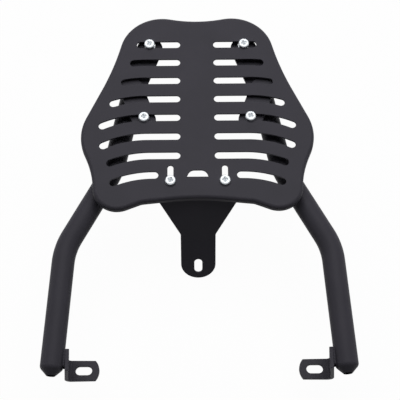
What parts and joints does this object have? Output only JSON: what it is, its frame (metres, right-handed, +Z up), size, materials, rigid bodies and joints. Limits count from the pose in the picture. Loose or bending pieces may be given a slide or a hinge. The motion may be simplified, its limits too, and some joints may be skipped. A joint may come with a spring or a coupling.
{
  "type": "top case bracket",
  "caption": "Motorcycle rear luggage rack: a pressed, slotted steel plate with a turned-down rim on bent tubes, with slotted foot tabs and a folded centre bracket.",
  "frame": {"origin": "midway between the two foot slots, on the undersides of the foot tabs", "axes": "+Z up, square to the top plate; +Y forward, from the feet towards the plate's front edge; +X to the right"},
  "size_m": [0.3374, 0.4213, 0.1191],
  "materials": {
    "coated_steel": "fine satin black powder coat",
    "zinc_plated_steel": "bright zinc plating"
  },
  "bodies": {
    "root": {"top_plate": "coated_steel", "left_tube": "coated_steel", "right_tube": "coated_steel", "left_front_strip": "coated_steel", "right_front_strip": "coated_steel", "left_middle_strip": "coated_steel", "right_middle_strip": "coated_steel", "left_foot_tab": "coated_steel", "right_foot_tab": "coated_steel", "centre_bracket": "coated_steel", "front_spacers": "zinc_plated_steel", "middle_spacers": "zinc_plated_steel", "plate_screws": "zinc_plated_steel", "plate_washers": "zinc_plated_steel", "plate_nuts": "zinc_plated_steel"}
  },
  "joints": []
}
